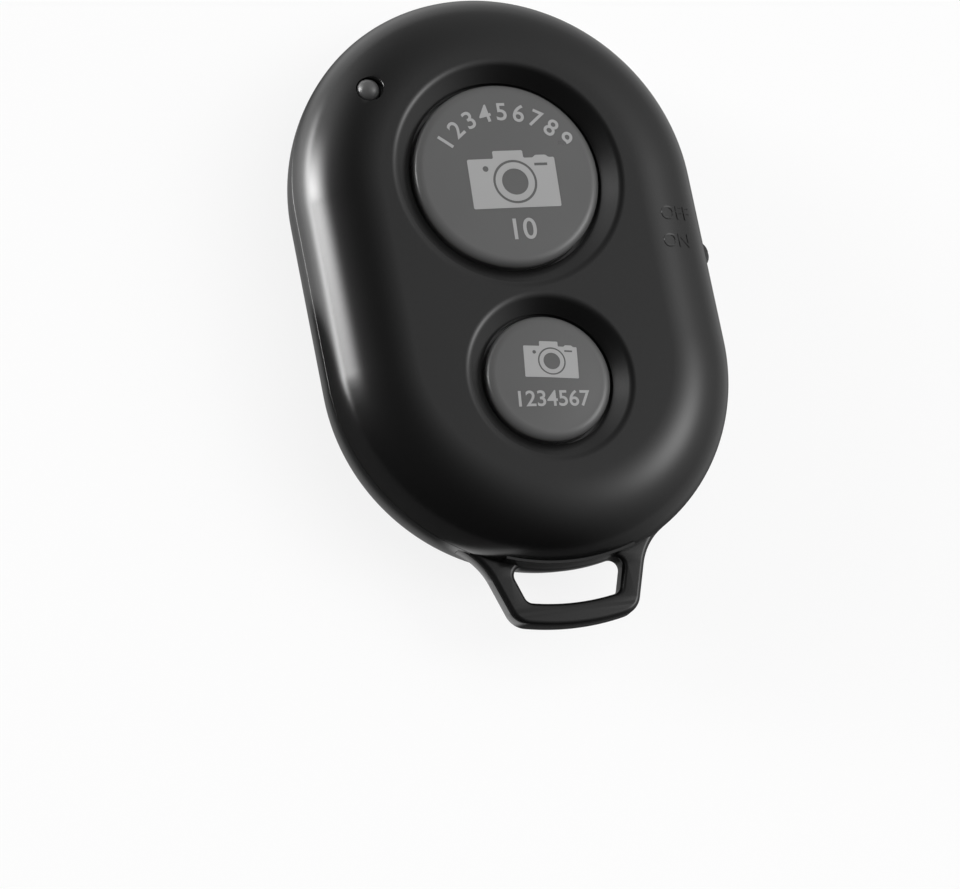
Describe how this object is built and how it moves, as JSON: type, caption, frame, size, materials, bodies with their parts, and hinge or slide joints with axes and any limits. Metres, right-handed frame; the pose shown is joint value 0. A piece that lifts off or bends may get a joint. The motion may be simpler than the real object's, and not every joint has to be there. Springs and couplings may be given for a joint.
{
  "type": "wireless camera shutter remote",
  "caption": "Pill-shaped pocket remote that releases a phone camera's shutter: a large and a small push button, a side slide switch, an indicator, a strap loop and a battery door.",
  "frame": {"origin": "centre of the pill-shaped case on its flat back, where it lies on a table", "axes": "+X towards the slide switch, +Y away from the strap loop, +Z from the back to the buttons"},
  "size_m": [0.0326, 0.0501, 0.011],
  "materials": {
    "shell": "black moulded plastic, satin gloss",
    "button": "grey moulded plastic, satin, printed in pale grey",
    "light_pipe": "smoky clear plastic, polished",
    "board": "green solder mask on glass fibre board",
    "copper": "bare copper",
    "chip": "black moulded package",
    "tin": "tinned sheet",
    "steel": "plain stainless sheet",
    "screw": "zinc plated steel",
    "capacitor": "tan ceramic body",
    "lamp": "clear yellowish resin",
    "knob": "black moulded plastic, fine ribs",
    "gasket": "milky plastic",
    "core": "dark electrode stack"
  },
  "bodies": {
    "root": {"front_shell": "shell", "rear_shell": "shell", "light_pipe": "light_pipe", "circuit_board": "board", "antenna_trace": "copper", "radio_chip": "chip", "memory_chip": "chip", "memory_chip_leads": "tin", "crystal": "steel", "capacitors": "capacitor", "resistors": "chip", "indicator_lamp": "lamp", "large_switch_base": "chip", "large_switch_cover": "steel", "large_switch_dome": "steel", "large_switch_terminals": "tin", "small_switch_base": "chip", "small_switch_cover": "steel", "small_switch_dome": "steel", "small_switch_terminals": "tin", "slide_switch_case": "steel", "slide_switch_base": "chip", "slide_switch_terminals": "tin", "cell_can": "steel", "cell_gasket": "gasket", "cell_cap": "steel", "cell_core": "core", "side_contact": "tin", "top_contact": "tin", "case_screws": "screw"},
    "large_button": {"large_button": "button", "large_switch_plunger": "chip"},
    "small_button": {"small_button": "button", "small_switch_plunger": "chip"},
    "slide_knob": {"slide_switch_knob": "knob", "slide_switch_wiper": "copper"},
    "battery_door": {"battery_door": "shell"}
  },
  "joints": [
    {"name": "large_button_press", "type": "slide", "parent": "root", "child": "large_button", "axis": [0, 0, -1], "range_m": [0, 0.0003], "stiffness_N_per_m": 5000, "deforming": ["large_switch_dome"]},
    {"name": "small_button_press", "type": "slide", "parent": "root", "child": "small_button", "axis": [0, 0, -1], "range_m": [0, 0.0003], "stiffness_N_per_m": 5000, "deforming": ["small_switch_dome"]},
    {"name": "slide_knob_travel", "type": "slide", "parent": "root", "child": "slide_knob", "axis": [0, 1, 0], "range_m": [0, 0.002]},
    {"name": "battery_door_hinge", "type": "hinge", "parent": "root", "child": "battery_door", "pos_m": [0, 0.0156, 0], "axis": [1, 0, 0], "range_deg": [0, 45]}
  ]
}
